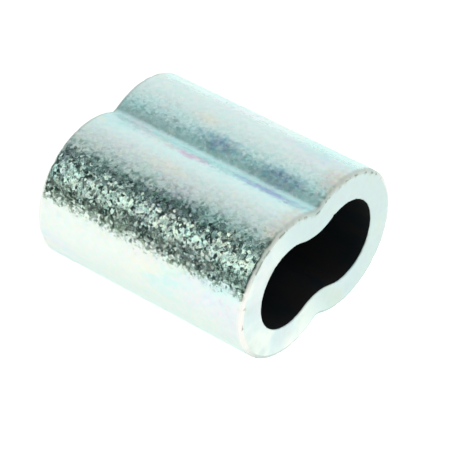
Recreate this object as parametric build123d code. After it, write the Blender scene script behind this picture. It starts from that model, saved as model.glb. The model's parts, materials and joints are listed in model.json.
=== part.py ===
"""Hourglass swage sleeve for wire rope: one length of seamless double-barrel tube.

The rope goes through one channel, turns back and returns through the other. A swaging tool then squeezes the
sleeve around both passes. It is a single piece with nothing fitted to it and nothing that moves.

Row frame, in millimetres: +X along the rope channels, +Y from one channel's axis to the other's, +Z up.
The origin is the sleeve's centre, midway between the two channels and midway along its length.
"""

import os
from math import sqrt

from build123d import *

# Driving dimensions
SLEEVE_LENGTH = 17.0
CHANNEL_RADIUS = 3.0  # takes a 5 mm rope with room for its strands
CHANNEL_SPACING = 5.36  # between the two channels' axes
WALL = 2.12
GROOVE_RADIUS = 0.6  # the concave line between the barrels, outside
RIDGE_RADIUS = 3.7  # the rounded ridge between the channels, inside
OUTER_EDGE_ROUND = 0.3  # both ends are tumbled smooth
BORE_EDGE_ROUND = 0.12

BARREL_RADIUS = CHANNEL_RADIUS + WALL


def hourglass(lobe_radius, waist_radius):
    """A closed outline of two round lobes on the Y axis, joined above and below by concave arcs tangent to both."""
    lobe_y = CHANNEL_SPACING / 2
    waist_centre_z = sqrt((lobe_radius + waist_radius) ** 2 - lobe_y**2)
    # A lobe's arc meets a waist arc on the line between their centres.
    lobe_share = lobe_radius / (lobe_radius + waist_radius)
    join_y = lobe_y * (1 - lobe_share)
    join_z = waist_centre_z * lobe_share
    waist_z = waist_centre_z - waist_radius
    end_y = lobe_y + lobe_radius
    return make_face(
        [
            ThreePointArc((join_y, -join_z), (end_y, 0), (join_y, join_z)),
            ThreePointArc((join_y, join_z), (0, waist_z), (-join_y, join_z)),
            ThreePointArc((-join_y, join_z), (-end_y, 0), (-join_y, -join_z)),
            ThreePointArc((-join_y, -join_z), (0, -waist_z), (join_y, -join_z)),
        ]
    )


def tube():
    """The double-barrel tube with its passage, cut square at both ends."""
    back_end = Plane(origin=(-SLEEVE_LENGTH / 2, 0, 0), x_dir=(0, 1, 0), z_dir=(1, 0, 0))
    barrels = extrude(back_end * hourglass(BARREL_RADIUS, GROOVE_RADIUS), SLEEVE_LENGTH)
    passage = extrude(back_end * hourglass(CHANNEL_RADIUS, RIDGE_RADIUS), SLEEVE_LENGTH)
    return barrels - passage


def end_edges(body, inside):
    """The edges of the passage's two mouths, or those of the two outer rims."""
    ends = body.faces().filter_by(Axis.X, tolerance=1e-4).filter_by(GeomType.PLANE)
    if inside:
        return [edge for end in ends for loop in end.inner_wires() for edge in loop.edges()]
    return [edge for end in ends for edge in end.outer_wire().edges()]


def sleeve():
    """The finished sleeve, with its rims rounded over and the passage's mouths eased."""
    rounded = fillet(end_edges(tube(), inside=False), OUTER_EDGE_ROUND)
    return fillet(end_edges(rounded, inside=True), BORE_EDGE_ROUND)


os.makedirs("parts", exist_ok=True)
export_step(sleeve(), "parts/sleeve.step")
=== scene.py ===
"""Looks of the hourglass swage sleeve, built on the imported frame.

There is one zinc-plated piece, a pale floor and soft studio light. Lengths are in metres in the row
frame: +X along the rope channels, +Y from one channel to the other, +Z up.
"""

import json
import math

import bpy
import numpy as np
from mathutils import Matrix, Vector


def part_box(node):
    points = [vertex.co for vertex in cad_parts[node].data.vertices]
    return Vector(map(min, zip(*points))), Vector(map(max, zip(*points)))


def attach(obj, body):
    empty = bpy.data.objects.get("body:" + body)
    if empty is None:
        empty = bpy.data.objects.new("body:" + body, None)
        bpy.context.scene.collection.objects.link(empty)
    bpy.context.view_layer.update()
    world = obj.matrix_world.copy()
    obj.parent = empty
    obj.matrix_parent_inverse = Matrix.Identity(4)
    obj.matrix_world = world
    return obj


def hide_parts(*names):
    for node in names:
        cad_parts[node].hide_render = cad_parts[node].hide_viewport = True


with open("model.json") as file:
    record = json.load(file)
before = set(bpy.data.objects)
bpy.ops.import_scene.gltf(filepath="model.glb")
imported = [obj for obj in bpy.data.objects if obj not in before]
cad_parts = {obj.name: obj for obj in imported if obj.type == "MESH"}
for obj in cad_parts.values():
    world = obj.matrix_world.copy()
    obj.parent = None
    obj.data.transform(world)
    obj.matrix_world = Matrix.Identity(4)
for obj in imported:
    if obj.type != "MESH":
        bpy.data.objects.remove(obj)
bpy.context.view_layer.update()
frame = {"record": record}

MM = 0.001

# ---------------------------------------------------------------- sizes

# The sleeve's own sizes, from the frame where it has them
low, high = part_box("sleeve")
LENGTH = high.x - low.x
BARREL_RADIUS = (high.z - low.z) / 2
HALF_WIDTH = (high.y - low.y) / 2
LOBE_Y = HALF_WIDTH - BARREL_RADIUS
CHANNEL_RADIUS = frame["record"]["mounts"][0]["dims"]["r_mm"] * MM
GROOVE_RADIUS = 0.6 * MM
RIDGE_RADIUS = 3.7 * MM
RIM_ROUND = 0.3 * MM
MOUTH_ROUND = 0.12 * MM

# How finely the skin is meshed: columns go around the profile, rows go along the wall's section.
LOBE_COLUMNS = 196
WAIST_COLUMNS = 12
BARREL_ROWS = 164
RIM_ROWS = 6
FACE_ROWS = 9
MOUTH_ROWS = 3
BORE_ROWS = 24
# The rows run down the outside, over the back end, through the passage and back over the front end.
BARREL_END = BARREL_ROWS - 1 + RIM_ROWS
BORE_START = BARREL_END + FACE_ROWS + MOUTH_ROWS
BORE_END = BORE_START + BORE_ROWS

# ---------------------------------------------------------------- tumbling marks

RELIEF_ROOM = 0.016 * MM  # the skin starts this far inside the CAD surface, so the marks stay in its box
GRAIN_SEED = 11
GRAIN_WAVES = 260
GRAIN_LENGTHS = (0.4 * MM, 1.0 * MM)
GRAIN_HEIGHT = 0.005 * MM
GRAIN_PEAK = 3  # the grain is cut off at this many times its height
# The tumbling stones mark the broad top and bottom of the barrels more than the grooves and the sides.
# Each shelter is a distance where it starts, a distance where it ends, and the grain's share at each.
GROOVE_SHELTER = (4.1 * MM, 5.7 * MM, 0.52, 1)  # by the distance from the middle plane
SIDE_SHELTER = (1.8 * MM, 3.3 * MM, 0.3, 1)  # by the height above or below the axes
FAR_SHELTER = (3.2 * MM, 5.0 * MM, 1, 0.5)  # facets only, towards +Y, the better kept side
# Dents: how many, smallest and largest radius, smallest and largest depth
RIM_NICKS = (150, 0.13 * MM, 0.32 * MM, 0.015 * MM, 0.05 * MM)
MOUTH_NICKS = (110, 0.10 * MM, 0.22 * MM, 0.01 * MM, 0.035 * MM)
BARREL_DENTS = (90, 0.5 * MM, 1.3 * MM, 0.004 * MM, 0.012 * MM)
RIM_SEED, BARREL_SEED, MOUTH_SEED = 12, 14, 16  # each one places its dents, and the next one sizes them

# ---------------------------------------------------------------- zinc plate

FACET_SCALE = 5200
FACET_TILT = 0.28
FACET_SOFTNESS = 0.18
POLISH_SCALE = 2000
POLISH_RANGE = (0.35, 0.65)  # the noise values of the burnished spots and of the dull ones
POLISHED, DULLED = 0.14, 0.27  # their roughness
SHELTERED_DULL = 0.34  # roughness where the groove shelters the plate
# The bottom of the grooves stays unpolished: from this far to this far from the middle plane, and its
# roughness there
GROOVE_DULL = (0.5 * MM, 1.7 * MM, 0.52, 0)
PIT_SCALE, PIT_DETAIL = 4050, 1.0
PIT_HEIGHT = 0.015 * MM
PLATE_SPECULAR_TINT = (0.86, 0.93, 0.92, 1)

# The passivate film's colour from the near barrel's side, across the groove, to the far barrel's,
# a brighter cyan in the groove as a painted highlight: Y in millimetres and colour
FILM_STEPS_AND_GROOVE_HIGHLIGHT = (
    (-7.6, (0.80, 0.87, 0.815)),
    (-5.5, (0.72, 0.895, 0.845)),
    (-3.0, (0.73, 0.865, 0.84)),
    (-0.9, (0.74, 0.96, 0.95)),
    (0.0, (0.68, 0.95, 0.96)),
    (0.9, (0.66, 0.96, 0.96)),
    (1.8, (0.70, 0.93, 0.91)),
    (2.5, (0.74, 0.89, 0.87)),
    (7.6, (0.74, 0.87, 0.84)),
)
# Faint tints of the film: colour, pattern scale, and the noise values over which each comes in
STAINS = (
    ((0.77, 0.82, 0.85), 320, 0.50, 0.68),
    ((0.60, 0.86, 0.85), 260, 0.52, 0.70),
    ((0.86, 0.87, 0.76), 420, 0.58, 0.76),
)
STAIN_STRETCH = 0.45  # under 1, so the tints are drawn out along the sleeve
# Stains that lie in one place: colour, centre, reach along X, Y and Z in millimetres, and strength
PLACED_STAINS = (
    ((0.80, 0.57, 0.72), (-1.2, -0.95, 4.8), (2.4, 0.45, 0.8), 0.8),
    ((0.57, 0.60, 0.88), (4.9, -0.6, 4.65), (3.3, 0.5, 0.8), 0.85),
    ((0.27, 0.45, 0.57), (-0.3, 1.1, 4.9), (2.6, 0.9, 0.8), 0.75),
    ((0.27, 0.44, 0.59), (4.7, 0.9, 4.7), (2.6, 0.8, 0.8), 0.75),
    ((0.36, 0.50, 0.48), (0.6, -5.1, 4.5), (4.8, 0.8, 0.7), 0.7),
    ((0.70, 0.60, 0.50), (8.0, -2.2, 5.0), (1.0, 2.2, 1.0), 0.4),
    ((0.66, 0.56, 0.47), (8.0, 2.4, 5.0), (1.2, 1.8, 1.0), 0.5),
)
STAIN_FADE = (0.2, 1.0)  # a placed stain fades over this part of its reach
STAIN_WANDER, STAIN_WANDER_SCALE = 0.4 * MM, 900  # how far its outline wanders, and how finely
STAIN_GRAIN = 2600  # how finely its edge breaks up into specks
STAIN_SPECKS = (0.35, 0.65, -0.22, 0.22)  # noise values, and the part of its reach that they add
FLAKE_TINT = 0.4  # how much the plate's fine crystals differ in colour
FLAKE_SCALE = 2700

# The rims carry a painted cream highlight at the sides and turn darker at the top and bottom.
RIM_PAINTED_HIGHLIGHT, RIM_DARKER = (0.93, 0.89, 0.83, 1), (0.50, 0.55, 0.50, 1)
RIM_HEIGHTS = (2.0 * MM, 3.8 * MM)  # from where to where the painted highlight turns into the darker colour
RIM_START, RIM_END = LENGTH / 2 - 0.40 * MM, LENGTH / 2 - 0.18 * MM
RIM_PAINT_SHARE = 0.75
RIM_ROUGHNESS = 0.3

# Dark specks where a rim meets its end face
SEAM_SPECK_COLOUR = (0.24, 0.27, 0.23, 1)
SEAM_SPECK_SCALE, SEAM_SPECK_DETAIL = 2400, 1.5
SEAM_SPECK_GATHER_SCALE = 300
SEAM_SPECK_GATHER = (0.35, 0.65, -0.1, 0.06)  # broad noise, and what it adds to the specks' noise
SEAM_SPECK_HEIGHT = (1.8 * MM, 4.0 * MM, -0.17, 0.055)  # height, and what it adds
SEAM_SPECK_EDGE = (0.51, 0.58, 0, 1)  # the sum over which a speck comes in
SEAM_FADE = (0.3, 1, 0.3, 0)  # how strongly the mesh rows beside the seam take the dark specks

# ---------------------------------------------------------------- cut ends and passage

# The cut ends' colour from the near barrel (0) to the far one (1), a painted light that is brighter on the
# near side and darker on the far one, and its tints, as for the film
CUT_PAINTED_LIGHT_STEPS = (
    (0.05, (0.84, 0.92, 0.86)),
    (0.2, (0.89, 0.95, 0.875)),
    (0.455, (0.63, 0.77, 0.75)),
    (0.55, (0.605, 0.735, 0.72)),
    (0.8, (0.61, 0.73, 0.71)),
)
CUT_PAINTED_LIGHT_LEAN = 0.5  # how far those steps lean: millimetres of Y for each of Z
CUT_STAINS = (
    ((0.60, 0.77, 0.79), 300, 0.48, 0.62),
    ((0.74, 0.79, 0.79), 330, 0.52, 0.66),
    ((0.62, 0.74, 0.66), 360, 0.52, 0.68),
)
CUT_STAIN_SHARE = 0.75
CUT_GRAIN_SCALE, CUT_GRAIN_TINT = 2200, 0.15
CUT_ROUGHNESS = (0.3, 0.7, 0.30, 0.42)  # noise values, and the roughness that they give
CUT_GRAIN_HEIGHT, CUT_GRAIN_STRENGTH = 0.02 * MM, 0.6

# Near-black colours of the passage's wall, a painted shade
BORE_SHADE_COLOURS = (0.008, 0.0115, 0.014, 1), (0.015, 0.012, 0.011, 1)
BORE_STRETCH, BORE_SCALE = 0.25, 700
BORE_MIX = (0.45, 0.7, 0, 1)
BORE_ROUGHNESS = (0.3, 0.7, 0.5, 0.8)
BORE_STREAK_HEIGHT = 0.02 * MM
BORE_SPECULAR = 0.15

# ---------------------------------------------------------------- camera, floor and light

CAMERA_AZIMUTH, CAMERA_ELEVATION, CAMERA_ROLL = 40.05, 40.11, -1.44  # degrees
CAMERA_DISTANCE = 181 * MM
CAMERA_RIGHT, CAMERA_DOWN = 0.70 * MM, 0.85 * MM  # how far it stands beside the line to the origin
CAMERA_LENS = 222.5
CAMERA_CLIP = (0.01, 20)

FLOOR_HALF = 1.5
FLOOR_GREY, FLOOR_ROUGHNESS, FLOOR_SPECULAR, FLOOR_GLOW = 0.6, 0.9, 0.1, 0.78

# Lamps on the near side: name, height above the horizon in degrees, how far they stand to +X as a
# share of their distance, size, brightness and colour
LAMPS = (
    ("key", 48, -0.33, (0.15, 0.185), 1.12, (0.97, 1.0, 0.88)),
    ("rear", 42.5, -0.57, (0.09, 0.16), 0.95, (0.90, 1.0, 0.96)),
    ("upper", 64, -0.50, (0.12, 0.04), 0.8, (0.78, 1.0, 0.98)),
    ("lower", 30, -0.47, (0.14, 0.05), 0.95, (0.74, 1.0, 0.88)),
)
LAMP_DISTANCE = 0.5
BACKDROP = (0.93, 0.94, 0.94, 1)  # what shows behind the floor

# The sky's light by how far its direction points to the back (+Y), from -1 to 1: brightness, colour
TEAL, NEUTRAL = (0.58, 1.0, 0.97), (0.98, 1.0, 1.0)
SKY_STEPS = (
    (-0.26, 0.027, TEAL),
    (-0.12, 0.27, (0.72, 1.0, 0.94)),
    (0.03, 0.55, (0.83, 1.0, 0.97)),
    (0.18, 0.68, NEUTRAL),
    (0.33, 0.78, NEUTRAL),
    (0.6, 0.88, NEUTRAL),
    (0.8, 0.97, NEUTRAL),
)
# Glows over that: the axis along which each comes in, from where to where, and its colour
SKY_GLOWS = (
    ("Z", 0.22, 0.0, (0.56, 0.7, 0.58)),
    ("X", 0.1, 0.7, (0.9, 0.9, 0.88)),
)


# ---------------------------------------------------------------- shape

def hourglass(lobe_radius, waist_radius):
    """The closed outline's points and outward normals in the YZ plane, one for each column."""
    waist_z = math.sqrt((lobe_radius + waist_radius) ** 2 - LOBE_Y**2)
    lean = math.asin(LOBE_Y / (lobe_radius + waist_radius))
    points, normals = [], []

    def arc(centre, radius, start, end, columns, sign):
        for k in range(columns):
            a = start + (end - start) * k / columns
            out = np.array([math.cos(a), math.sin(a)])
            points.append(np.array(centre) + radius * out)
            normals.append(sign * out)

    quarter = math.pi / 2
    arc((LOBE_Y, 0), lobe_radius, -quarter - lean, quarter + lean, LOBE_COLUMNS, 1)
    arc((0, waist_z), waist_radius, -quarter + lean, -quarter - lean, WAIST_COLUMNS, -1)
    arc((-LOBE_Y, 0), lobe_radius, quarter - lean, 3 * quarter + lean, LOBE_COLUMNS, 1)
    arc((0, -waist_z), waist_radius, quarter + lean, quarter - lean, WAIST_COLUMNS, -1)
    return np.array(points), np.array(normals)


def outside(inset):
    """The barrels' outline, this far inside their surface."""
    return hourglass(BARREL_RADIUS - inset, GROOVE_RADIUS + inset)


def inside(outset):
    """The passage's outline, this far behind its surface."""
    return hourglass(CHANNEL_RADIUS + outset, RIDGE_RADIUS - outset)


def end_rings(sign):
    """One end, from the barrel's surface to the passage's: for each ring its X, its outline, the
    outline's normals, and the surface normal's share along X and across it."""
    half = LENGTH / 2
    found = []
    for k in range(RIM_ROWS + 1):
        a = math.pi / 2 * k / RIM_ROWS
        outline, flat = outside(RIM_ROUND * (1 - math.cos(a)))
        x = half - RIM_ROUND + RIM_ROUND * math.sin(a)
        found.append((sign * x, outline, flat, sign * math.sin(a), math.cos(a)))
    face_out, flat_out = outside(RIM_ROUND)
    face_in = inside(MOUTH_ROUND)[0]
    for k in range(1, FACE_ROWS):
        t = k / FACE_ROWS
        found.append((sign * half, face_out * (1 - t) + face_in * t, flat_out, sign, 0.0))
    for k in range(MOUTH_ROWS + 1):
        a = math.pi / 2 * k / MOUTH_ROWS
        outline, flat = inside(MOUTH_ROUND * (1 - math.sin(a)))
        x = half - MOUTH_ROUND * (1 - math.cos(a))
        found.append((sign * x, outline, flat, sign * math.cos(a), -math.sin(a)))
    return found


def wall_section():
    """Rings of the whole skin in the order of its rows, and their normals."""
    rings, normals = [], []

    def add(x, outline, flat_normals, along, across):
        count = len(outline)
        rings.append(np.column_stack([np.full(count, x), outline]))
        normals.append(np.column_stack([np.full(count, along), flat_normals * across]))

    barrel, flat_barrel = outside(0)
    bore, flat_bore = inside(0)
    reach = LENGTH / 2 - RIM_ROUND
    depth = LENGTH / 2 - MOUTH_ROUND
    for k in range(1, BARREL_ROWS):
        add(reach - 2 * reach * k / BARREL_ROWS, barrel, flat_barrel, 0.0, 1.0)
    for row in end_rings(-1):
        add(*row)
    for k in range(1, BORE_ROWS):
        add(-depth + 2 * depth * k / BORE_ROWS, bore, flat_bore, 0.0, -1.0)
    for row in reversed(end_rings(1)):
        add(*row)
    return np.array(rings), np.array(normals)


def waves(seed, count, shortest, longest, places):
    """A smooth random relief as a sum of plane waves in space, about 1 high, at each place."""
    rng = np.random.default_rng(seed)
    directions = rng.normal(size=(count, 3))
    directions /= np.linalg.norm(directions, axis=1)[:, None]
    wave_numbers = 2 * math.pi / rng.uniform(shortest, longest, count)
    phases = rng.uniform(0, 2 * math.pi, count)
    sizes = 1 / wave_numbers  # every wave is about as steep
    sizes /= math.sqrt((sizes**2).sum() / 2)
    total = np.zeros(len(places))
    for direction, number, phase, size in zip(directions, wave_numbers, phases, sizes):
        total += size * np.cos(places @ direction * number + phase)
    return total


def dents(places, centres, seed, smallest, largest, shallowest, deepest):
    """How far round-bottomed dents at these centres push each place in."""
    rng = np.random.default_rng(seed)
    total = np.zeros(len(places))
    for centre in centres:
        radius = rng.uniform(smallest, largest)
        depth = rng.uniform(shallowest, deepest)
        near = 1 - ((places - centre) ** 2).sum(axis=1) / radius**2
        total = np.maximum(total, depth * np.clip(near, 0, 1) ** 2)
    return total


def scattered(seed, count, rings):
    """Random places on some of the rings."""
    rng = np.random.default_rng(seed)
    flat = rings.reshape(-1, 3)
    return flat[rng.integers(0, len(flat), count)]


def relief(rings, places):
    """How far out each place of the skin lies from the CAD surface: grain, dents and nicks."""
    grain = waves(GRAIN_SEED, GRAIN_WAVES, *GRAIN_LENGTHS, places)
    exposed = np.interp(abs(places[:, 1]), GROOVE_SHELTER[:2], GROOVE_SHELTER[2:])
    exposed *= np.interp(abs(places[:, 2]), SIDE_SHELTER[:2], SIDE_SHELTER[2:])
    height = -RELIEF_ROOM + GRAIN_HEIGHT * exposed * np.clip(grain, -GRAIN_PEAK, GRAIN_PEAK)
    back_mouth = BARREL_END + 1 + FACE_ROWS
    front_mouth = back_mouth + MOUTH_ROWS + BORE_ROWS
    rims = np.concatenate([rings[BARREL_ROWS - 1:BARREL_END], rings[-RIM_ROWS:]])
    mouths = np.concatenate([rings[row:row + MOUTH_ROWS] for row in (back_mouth, front_mouth)])
    marks = (
        (RIM_SEED, rims, RIM_NICKS),
        (BARREL_SEED, rings[:BARREL_ROWS], BARREL_DENTS),
        (MOUTH_SEED, mouths, MOUTH_NICKS),
    )
    for seed, where, (count, *sizes) in marks:
        height -= dents(places, scattered(seed, count, where), seed + 1, *sizes)
    return height


def skin_faces(rows, columns):
    """Quads that join each ring to the next one, and the last ring to the first."""
    faces = []
    for i in range(rows):
        here = i * columns
        there = (i + 1) % rows * columns
        for j in range(columns):
            beside = (j + 1) % columns
            faces.append((here + j, here + beside, there + beside, there + j))
    return faces


def row_materials(rows):
    """Each row's material: 0 for the plated outside, 1 for the cut ends and the mouths, 2 for the passage."""
    found = np.zeros(rows, int)
    found[BARREL_END:BORE_START] = 1
    found[BORE_START:BORE_END] = 2
    found[BORE_END:BORE_END + MOUTH_ROWS + FACE_ROWS] = 1
    return found


def row_seams(rows):
    """How strongly each ring takes the dark specks. At the front end the rings run from face to rim."""
    found = np.zeros(rows)
    front_end = rows - RIM_ROWS - 1
    found[BARREL_END - 2:BARREL_END + 2] = SEAM_FADE
    found[front_end - 1:front_end + 3] = SEAM_FADE[::-1]
    return found


def sleeve_mesh():
    """The sleeve's whole skin as one closed mesh, with its material zones and its seam attribute."""
    rings, normals = wall_section()
    rows, columns = rings.shape[:2]
    places = rings.reshape(-1, 3)
    places = places + normals.reshape(-1, 3) * relief(rings, places)[:, None]
    mesh = bpy.data.meshes.new("sleeve_skin")
    mesh.from_pydata(places.tolist(), [], skin_faces(rows, columns))
    mesh.polygons.foreach_set("use_smooth", [True] * len(mesh.polygons))
    mesh.polygons.foreach_set("material_index", np.repeat(row_materials(rows), columns))
    seam = mesh.attributes.new("seam", "FLOAT", "POINT")
    seam.data.foreach_set("value", np.repeat(row_seams(rows), columns))
    mesh.update()
    return mesh


# ---------------------------------------------------------------- shader nodes

def connect(tree, socket, value):
    """Links an output to a socket, or sets the socket to a value."""
    if isinstance(value, bpy.types.NodeSocket):
        tree.links.new(value, socket)
    else:
        socket.default_value = value


def noise(tree, place, scale, detail=2.0):
    """Noise on places; its outputs are Fac and Color."""
    made = tree.nodes.new("ShaderNodeTexNoise")
    made.inputs["Scale"].default_value = scale
    made.inputs["Detail"].default_value = detail
    made.inputs["Roughness"].default_value = 0.5
    tree.links.new(place, made.inputs["Vector"])
    return made.outputs


def mapped(tree, value, from_low, from_high, to_low, to_high):
    """A value moved from one range to another and held within it."""
    made = tree.nodes.new("ShaderNodeMapRange")
    made.inputs["From Min"].default_value = from_low
    made.inputs["From Max"].default_value = from_high
    made.inputs["To Min"].default_value = to_low
    made.inputs["To Max"].default_value = to_high
    tree.links.new(value, made.inputs["Value"])
    return made.outputs["Result"]


def mixed(tree, share, first, second, mode="MIX"):
    """Two colours mixed by a share; each is a colour's numbers or an output."""
    made = tree.nodes.new("ShaderNodeMix")
    made.data_type = "RGBA"
    made.blend_type = mode
    for value, name, kind in ((share, "Factor", "VALUE"), (first, "A", "RGBA"), (second, "B", "RGBA")):
        connect(tree, next(s for s in made.inputs if s.name == name and s.type == kind), value)
    return next(s for s in made.outputs if s.type == "RGBA")


def ramped(tree, value, steps):
    """A colour that follows a value through steps of (value from 0 to 1, colour)."""
    made = tree.nodes.new("ShaderNodeValToRGB")
    found = made.color_ramp.elements
    while len(found) < len(steps):
        found.new(0.5)
    for element, (position, colour) in zip(found, steps):
        element.position = position
        element.color = (*colour, 1)
    tree.links.new(value, made.inputs["Fac"])
    return made.outputs["Color"]


def stretched(tree, place, along):
    """Places scaled along the sleeve, which draws a pattern out when the scale is under 1."""
    made = tree.nodes.new("ShaderNodeMapping")
    made.inputs["Scale"].default_value = (along, 1, 1)
    tree.links.new(place, made.inputs["Vector"])
    return made.outputs["Vector"]


def axis_of(tree, place, axis):
    """One coordinate of a place."""
    split = tree.nodes.new("ShaderNodeSeparateXYZ")
    tree.links.new(place, split.inputs[0])
    return split.outputs[axis]


def maths(tree, operation, *values):
    """Arithmetic on single values."""
    made = tree.nodes.new("ShaderNodeMath")
    made.operation = operation
    for value, socket in zip(values, made.inputs):
        connect(tree, socket, value)
    return made.outputs["Value"]


def vector_maths(tree, operation, *values):
    """Arithmetic on vectors."""
    made = tree.nodes.new("ShaderNodeVectorMath")
    made.operation = operation
    for value, socket in zip(values, made.inputs):
        connect(tree, socket, value)
    return made.outputs["Value" if operation == "LENGTH" else "Vector"]


def bumped(tree, height, distance, strength=1.0, normal=None):
    """The surface normal with fine relief, on another normal if one is given."""
    made = tree.nodes.new("ShaderNodeBump")
    made.inputs["Distance"].default_value = distance
    made.inputs["Strength"].default_value = strength
    tree.links.new(height, made.inputs["Height"])
    if normal is not None:
        tree.links.new(normal, made.inputs["Normal"])
    return made.outputs["Normal"]


def new_material(name):
    """An empty material, its node tree, its shader's inputs and its object coordinates."""
    material = bpy.data.materials.new(name)
    material.use_nodes = True
    tree = material.node_tree
    place = tree.nodes.new("ShaderNodeTexCoord").outputs["Object"]
    return material, tree, tree.nodes["Principled BSDF"].inputs, place


def tinted(tree, place, colour, stains, strongest):
    """A colour with cloudy tints over it."""
    for tint, scale, start, end in stains:
        cloud = noise(tree, place, scale, 3.0)["Fac"]
        colour = mixed(tree, mapped(tree, cloud, start, end, 0, strongest), colour, (*tint, 1))
    return colour


# ---------------------------------------------------------------- materials

def with_placed_stains(tree, place, colour):
    """The film's colour with the stains that lie in one place, their edges ragged and speckled."""
    ragged = noise(tree, place, STAIN_WANDER_SCALE)["Color"]
    offset = vector_maths(tree, "MULTIPLY_ADD", ragged, (STAIN_WANDER,) * 3, (-STAIN_WANDER / 2,) * 3)
    moved = vector_maths(tree, "ADD", place, offset)
    specks = mapped(tree, noise(tree, place, STAIN_GRAIN, 1.0)["Fac"], *STAIN_SPECKS)
    for tint, centre, reach, strength in PLACED_STAINS:
        from_centre = vector_maths(tree, "SUBTRACT", moved, [c * MM for c in centre])
        scaled = vector_maths(tree, "DIVIDE", from_centre, [r * MM for r in reach])
        distance = maths(tree, "ADD", vector_maths(tree, "LENGTH", scaled), specks)
        colour = mixed(tree, mapped(tree, distance, *STAIN_FADE, strength, 0), colour, (*tint, 1))
    return colour


def film_and_groove_highlight_colour(tree, place, across):
    """The passivate film: its change across the sleeve with a painted highlight in the groove, its stains and
    its crystals' own tints.
    """
    half = HALF_WIDTH / MM
    steps = [((y / half + 1) / 2, colour) for y, colour in FILM_STEPS_AND_GROOVE_HIGHLIGHT]
    # the film's colour across the sleeve, with a painted highlight in the groove
    colour = ramped(tree, mapped(tree, across, -HALF_WIDTH, HALF_WIDTH, 0, 1), steps)
    colour = tinted(tree, stretched(tree, place, STAIN_STRETCH), colour, STAINS, 1)
    colour = with_placed_stains(tree, place, colour)
    flakes = noise(tree, place, FLAKE_SCALE, 0.0)["Color"]
    return mixed(tree, FLAKE_TINT, colour, flakes, "SOFT_LIGHT")


def with_seam_specks(tree, place, colour):
    """The colour with dark specks along the seam between rim and end face, most of them at the top."""
    seam = tree.nodes.new("ShaderNodeAttribute")
    seam.attribute_name = "seam"
    speck = noise(tree, place, SEAM_SPECK_SCALE, SEAM_SPECK_DETAIL)["Fac"]
    gather = noise(tree, place, SEAM_SPECK_GATHER_SCALE, 0.0)["Fac"]
    amount = maths(tree, "ADD", speck, mapped(tree, gather, *SEAM_SPECK_GATHER))
    amount = maths(tree, "ADD", amount, mapped(tree, axis_of(tree, place, "Z"), *SEAM_SPECK_HEIGHT))
    share = maths(tree, "MULTIPLY", seam.outputs["Fac"], mapped(tree, amount, *SEAM_SPECK_EDGE))
    return mixed(tree, share, colour, SEAM_SPECK_COLOUR)


def facet_normal(tree, place, exposed):
    """The surface normal, tipped a little differently on each small facet that the tumbling left."""
    facets = tree.nodes.new("ShaderNodeTexVoronoi")
    facets.feature = "SMOOTH_F1"
    facets.inputs["Scale"].default_value = FACET_SCALE
    facets.inputs["Smoothness"].default_value = FACET_SOFTNESS
    tree.links.new(place, facets.inputs["Vector"])
    centred = vector_maths(tree, "SUBTRACT", facets.outputs["Color"], (0.5, 0.5, 0.5))
    tilt = tree.nodes.new("ShaderNodeVectorMath")
    tilt.operation = "SCALE"
    tree.links.new(centred, tilt.inputs[0])
    tree.links.new(maths(tree, "MULTIPLY", exposed, FACET_TILT), tilt.inputs["Scale"])
    normal = tree.nodes.new("ShaderNodeNewGeometry").outputs["Normal"]
    tipped = vector_maths(tree, "ADD", normal, tilt.outputs["Vector"])
    return vector_maths(tree, "NORMALIZE", tipped)


def exposure(tree, across, off_middle, height):
    """How much the tumbling stones reached each place, as a share."""
    exposed = mapped(tree, off_middle, *GROOVE_SHELTER)
    exposed = maths(tree, "MULTIPLY", exposed, mapped(tree, height, *SIDE_SHELTER))
    return maths(tree, "MULTIPLY", exposed, mapped(tree, across, *FAR_SHELTER))


def plate_roughness(tree, place, off_middle, rim):
    """Burnished spots and dull ones, and no smoother than the grooves and the rims allow."""
    burnish = noise(tree, place, POLISH_SCALE, 1.0)["Fac"]
    rough = mapped(tree, burnish, *POLISH_RANGE, POLISHED, DULLED)
    sheltered = mapped(tree, off_middle, *GROOVE_SHELTER[:2], SHELTERED_DULL, 0)
    unpolished = mapped(tree, off_middle, *GROOVE_DULL)
    for least in (sheltered, unpolished, maths(tree, "MULTIPLY", rim, RIM_ROUGHNESS)):
        rough = maths(tree, "MAXIMUM", rough, least)
    return rough


def zinc_plate():
    """The plated and tumbled outside of the barrels, with the rims."""
    material, tree, shader, place = new_material("zinc_plate")
    across = axis_of(tree, place, "Y")
    off_middle = maths(tree, "ABSOLUTE", across)
    along = maths(tree, "ABSOLUTE", axis_of(tree, place, "X"))
    height = maths(tree, "ABSOLUTE", axis_of(tree, place, "Z"))
    rim = mapped(tree, along, RIM_START, RIM_END, 0, 1)
    # painted highlight on the rims' sides, darker at their top and bottom, mixed over the film colour
    rim_highlight_and_dark = mixed(tree, mapped(tree, height, *RIM_HEIGHTS, 0, 1), RIM_PAINTED_HIGHLIGHT, RIM_DARKER)
    rim_mix = maths(tree, "MULTIPLY", rim, RIM_PAINT_SHARE)
    colour = mixed(tree, rim_mix, film_and_groove_highlight_colour(tree, place, across), rim_highlight_and_dark)
    facets = facet_normal(tree, place, exposure(tree, across, off_middle, height))
    pits = noise(tree, place, PIT_SCALE, PIT_DETAIL)["Fac"]
    connect(tree, shader["Base Color"], with_seam_specks(tree, place, colour))
    connect(tree, shader["Roughness"], plate_roughness(tree, place, off_middle, rim))
    connect(tree, shader["Normal"], bumped(tree, pits, PIT_HEIGHT, normal=facets))
    shader["Metallic"].default_value = 1.0
    shader["Specular Tint"].default_value = PLATE_SPECULAR_TINT
    return material


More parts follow.
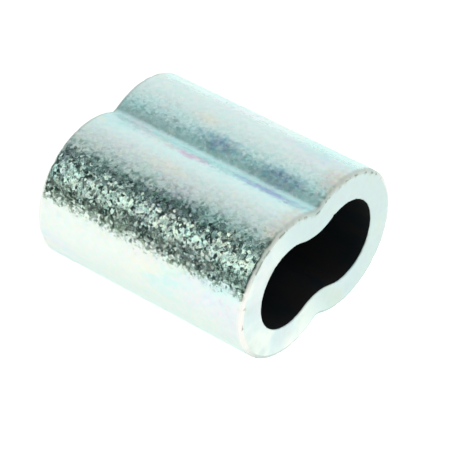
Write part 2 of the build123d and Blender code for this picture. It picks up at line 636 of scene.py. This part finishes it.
def cut_end():
    """The sawn and tumbled ends: flatter and duller than the barrels, with painted light that makes them
    brighter towards -Y and down.
    """
    material, tree, shader, place = new_material("zinc_cut_end")
    leaning = maths(tree, "MULTIPLY_ADD", axis_of(tree, place, "Z"), CUT_PAINTED_LIGHT_LEAN, axis_of(tree, place, "Y"))
    # painted light: brighter towards -Y and down, darker towards +Y
    colour = ramped(tree, mapped(tree, leaning, -HALF_WIDTH, HALF_WIDTH, 0, 1), CUT_PAINTED_LIGHT_STEPS)
    colour = tinted(tree, place, colour, CUT_STAINS, CUT_STAIN_SHARE)
    grain = noise(tree, place, CUT_GRAIN_SCALE)
    colour = mixed(tree, CUT_GRAIN_TINT, colour, grain["Color"], "SOFT_LIGHT")
    relief_normal = bumped(tree, grain["Fac"], CUT_GRAIN_HEIGHT, CUT_GRAIN_STRENGTH)
    connect(tree, shader["Base Color"], with_seam_specks(tree, place, colour))
    connect(tree, shader["Roughness"], mapped(tree, grain["Fac"], *CUT_ROUGHNESS))
    connect(tree, shader["Normal"], relief_normal)
    shader["Metallic"].default_value = 1.0
    return material


def painted_shade_bore():
    """The passage's wall, near black and matt: a painted shade for the shadowed passage."""
    material, tree, shader, place = new_material("painted_shade_bore")
    streaks = noise(tree, stretched(tree, place, BORE_STRETCH), BORE_SCALE, 3.0)["Fac"]
    connect(tree, shader["Base Color"], mixed(tree, mapped(tree, streaks, *BORE_MIX), *BORE_SHADE_COLOURS))
    connect(tree, shader["Roughness"], mapped(tree, streaks, *BORE_ROUGHNESS))
    connect(tree, shader["Normal"], bumped(tree, streaks, BORE_STREAK_HEIGHT))
    shader["Specular IOR Level"].default_value = BORE_SPECULAR
    return material


# ---------------------------------------------------------------- scene

def add(name, data):
    """A new object in the scene."""
    made = bpy.data.objects.new(name, data)
    bpy.context.scene.collection.objects.link(made)
    return made


def camera():
    """Looks down on the front end from the near side, a little rolled, through a long lens."""
    azimuth, elevation = math.radians(CAMERA_AZIMUTH), math.radians(CAMERA_ELEVATION)
    roll = math.radians(CAMERA_ROLL)
    flat = math.cos(elevation)
    back = Vector((math.sin(azimuth) * flat, -math.cos(azimuth) * flat, math.sin(elevation)))
    right = Vector((0, 0, 1)).cross(back).normalized()
    up = back.cross(right)
    tilted_right = right * math.cos(roll) + up * math.sin(roll)
    tilted_up = up * math.cos(roll) - right * math.sin(roll)
    place = back * CAMERA_DISTANCE + tilted_right * CAMERA_RIGHT - tilted_up * CAMERA_DOWN
    turn = Matrix((tilted_right, tilted_up, back)).transposed()
    data = bpy.data.cameras.new("camera")
    data.lens = CAMERA_LENS
    data.clip_start, data.clip_end = CAMERA_CLIP
    made = add("camera", data)
    made.matrix_world = Matrix.Translation(place) @ turn.to_4x4()
    bpy.context.scene.camera = made


def floor():
    """A plain pale floor under the sleeve, which also lights it from below."""
    corners = [(x * FLOOR_HALF, y * FLOOR_HALF, low.z) for x, y in ((-1, -1), (1, -1), (1, 1), (-1, 1))]
    mesh = bpy.data.meshes.new("floor")
    mesh.from_pydata(corners, [], [(0, 1, 2, 3)])
    made = add("floor", mesh)
    material = bpy.data.materials.new("floor_white")
    material.use_nodes = True
    shader = material.node_tree.nodes["Principled BSDF"].inputs
    shader["Base Color"].default_value = (FLOOR_GREY, FLOOR_GREY, FLOOR_GREY, 1)
    shader["Roughness"].default_value = FLOOR_ROUGHNESS
    shader["Specular IOR Level"].default_value = FLOOR_SPECULAR
    shader["Emission Color"].default_value = (1, 1, 1, 1)
    shader["Emission Strength"].default_value = FLOOR_GLOW
    mesh.materials.append(material)


def sky_colour(tree):
    """The sky's light: bright at the back, dim teal on the near side, with its two glows."""
    place = tree.nodes.new("ShaderNodeTexCoord").outputs["Generated"]
    steps = [((back + 1) / 2, [light * c for c in colour]) for back, light, colour in SKY_STEPS]
    colour = ramped(tree, mapped(tree, axis_of(tree, place, "Y"), -1, 1, 0, 1), steps)
    for axis, start, end, glow in SKY_GLOWS:
        share = mapped(tree, axis_of(tree, place, axis), start, end, 0, 1)
        colour = mixed(tree, share, colour, (*glow, 1), "LIGHTEN")
    return colour


def studio_sky():
    """The sky that lights the sleeve, with a plain backdrop where nothing else shows."""
    world = bpy.data.worlds.new("studio")
    world.use_nodes = True
    tree = world.node_tree
    sky = tree.nodes["Background"]
    tree.links.new(sky_colour(tree), sky.inputs["Color"])
    backdrop = tree.nodes.new("ShaderNodeBackground")
    backdrop.inputs["Color"].default_value = BACKDROP
    shown = tree.nodes.new("ShaderNodeMixShader")
    tree.links.new(tree.nodes.new("ShaderNodeLightPath").outputs["Is Camera Ray"], shown.inputs[0])
    tree.links.new(sky.outputs[0], shown.inputs[1])
    tree.links.new(backdrop.outputs[0], shown.inputs[2])
    tree.links.new(shown.outputs[0], tree.nodes["World Output"].inputs["Surface"])
    bpy.context.scene.world = world


def softbox(name, height, aside, size, brightness, colour):
    """A rectangular lamp on the near side that faces the sleeve."""
    lean = math.radians(height)
    level = math.sqrt(1 - aside**2)
    place = Vector((aside, -math.cos(lean) * level, math.sin(lean) * level)) * LAMP_DISTANCE
    data = bpy.data.lights.new(name, "AREA")
    data.shape = "RECTANGLE"
    data.size, data.size_y = size
    data.energy = brightness * math.pi * size[0] * size[1]
    data.color = colour
    made = add(name, data)
    made.location = place
    made.rotation_mode = "QUATERNION"
    made.rotation_quaternion = place.to_track_quat("Z", "Y")


piece = add("zinc_plated_sleeve", sleeve_mesh())
for material in (zinc_plate(), cut_end(), painted_shade_bore()):
    piece.data.materials.append(material)
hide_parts("sleeve")
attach(piece, "root")

camera()
floor()
studio_sky()
for lamp in LAMPS:
    softbox(*lamp)
bpy.context.scene.view_settings.view_transform = "Standard"
